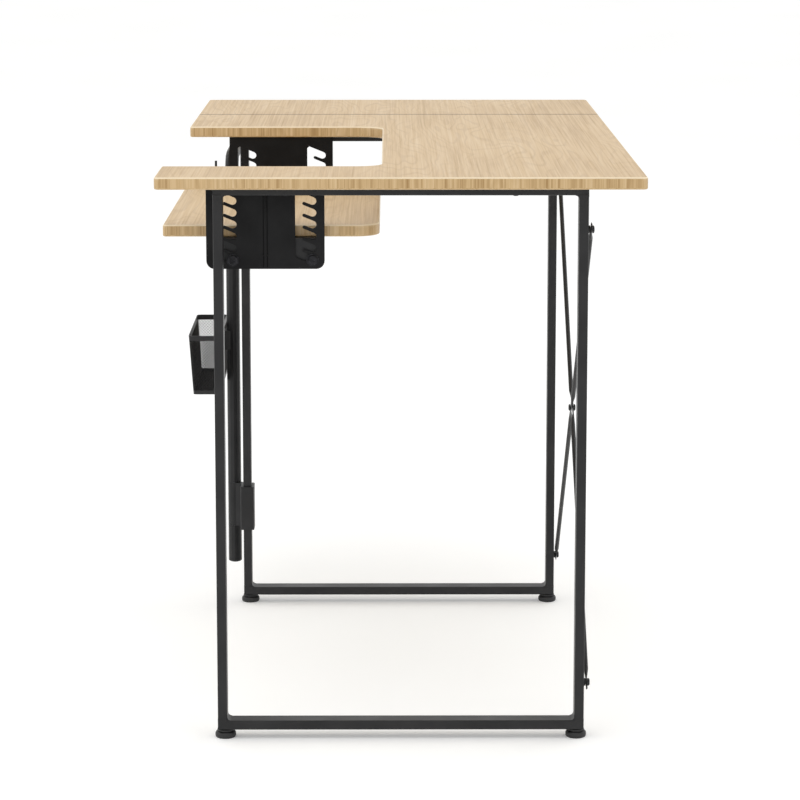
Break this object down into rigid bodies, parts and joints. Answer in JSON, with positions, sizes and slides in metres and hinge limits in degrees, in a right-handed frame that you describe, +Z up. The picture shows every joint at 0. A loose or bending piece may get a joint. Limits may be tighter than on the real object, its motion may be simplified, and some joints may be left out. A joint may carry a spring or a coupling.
{
  "type": "sewing table",
  "caption": "Sewing table with a board top on two steel end frames, a drop leaf on a swing arm, a height-set machine platform in a front notch, an X brace and a side basket.",
  "frame": {"origin": "middle of the footprint, on the floor", "axes": "+X along the top away from the drop leaf, -Y towards the user, +Z up"},
  "size_m": [1.156, 0.6395, 0.762],
  "materials": {
    "wood_foil": "satin",
    "black_steel": "satin powder coat",
    "black_plastic": "matt",
    "zinc_steel": "satin"
  },
  "bodies": {
    "table_frame": {"brace_bolt_far_high": "black_steel", "brace_bolt_far_low": "black_steel", "brace_bolt_near_high": "black_steel", "brace_bolt_near_low": "black_steel", "brace_rivet_back": "black_steel", "brace_rivet_front": "black_steel", "brace_rod_falling": "black_steel", "brace_rod_rising": "black_steel", "brace_washer_far_high": "black_steel", "brace_washer_far_low": "black_steel", "brace_washer_near_high": "black_steel", "brace_washer_near_low": "black_steel", "far_bottom_rail": "black_steel", "far_leg_back": "black_steel", "far_leg_front": "black_steel", "far_slotted_plate": "black_steel", "far_top_rail": "black_steel", "foot_nut_far_back": "zinc_steel", "foot_nut_far_front": "zinc_steel", "foot_nut_near_back": "zinc_steel", "foot_nut_near_front": "zinc_steel", "hinge_back_pin": "zinc_steel", "hinge_back_top_wing": "zinc_steel", "hinge_front_pin": "zinc_steel", "hinge_front_top_wing": "zinc_steel", "lower_pivot_bracket": "black_steel", "main_top": "wood_foil", "near_bottom_rail": "black_steel", "near_leg_back": "black_steel", "near_leg_front": "black_steel", "near_slotted_plate": "black_steel", "near_top_rail": "black_steel", "upper_pivot_bracket": "black_steel"},
    "leaf": {"drop_leaf": "wood_foil", "hinge_back_leaf_wing": "zinc_steel", "hinge_front_leaf_wing": "zinc_steel", "leaf_rest_block": "black_plastic"},
    "support_arm": {"arm_bottom_cap": "black_plastic", "arm_end_cap": "black_plastic", "arm_pivot_pin": "zinc_steel", "arm_tube": "black_steel", "arm_tube_lower": "black_steel", "basket": "black_steel", "basket_clip": "black_plastic", "tool_hook": "black_steel"},
    "platform": {"far_platform_bolt_1": "black_steel", "far_platform_bolt_2": "black_steel", "far_platform_bracket": "black_steel", "far_platform_nut_1": "zinc_steel", "far_platform_nut_2": "zinc_steel", "machine_platform": "wood_foil", "near_platform_bolt_1": "black_steel", "near_platform_bolt_2": "black_steel", "near_platform_bracket": "black_steel", "near_platform_nut_1": "zinc_steel", "near_platform_nut_2": "zinc_steel"},
    "foot_far_back_body": {"foot_far_back": "black_plastic"},
    "foot_far_front_body": {"foot_far_front": "black_plastic"},
    "foot_near_back_body": {"foot_near_back": "black_plastic"},
    "foot_near_front_body": {"foot_near_front": "black_plastic"}
  },
  "joints": [
    {"name": "leaf_fold", "type": "hinge", "parent": "table_frame", "child": "leaf", "pos_m": [-0.308, 0, 0.7424], "axis": [0, -1, 0], "range_deg": [0, 90]},
    {"name": "support_arm_swing", "type": "hinge", "parent": "table_frame", "child": "support_arm", "pos_m": [-0.206, -0.2604, 0.4], "axis": [0, 0, -1], "range_deg": [0, 90]},
    {"name": "platform_lift", "type": "slide", "parent": "table_frame", "child": "platform", "axis": [0, 0, 1], "range_m": [0, 0.079]},
    {"name": "foot_far_back_level", "type": "slide", "parent": "table_frame", "child": "foot_far_back_body", "axis": [0, 0, -1], "range_m": [0, 0.008]},
    {"name": "foot_far_front_level", "type": "slide", "parent": "table_frame", "child": "foot_far_front_body", "axis": [0, 0, -1], "range_m": [0, 0.008]},
    {"name": "foot_near_back_level", "type": "slide", "parent": "table_frame", "child": "foot_near_back_body", "axis": [0, 0, -1], "range_m": [0, 0.008]},
    {"name": "foot_near_front_level", "type": "slide", "parent": "table_frame", "child": "foot_near_front_body", "axis": [0, 0, -1], "range_m": [0, 0.008]}
  ],
  "couplings": [
    {"joint": "support_arm_swing", "follows": "leaf_fold", "ratio": 1}
  ]
}
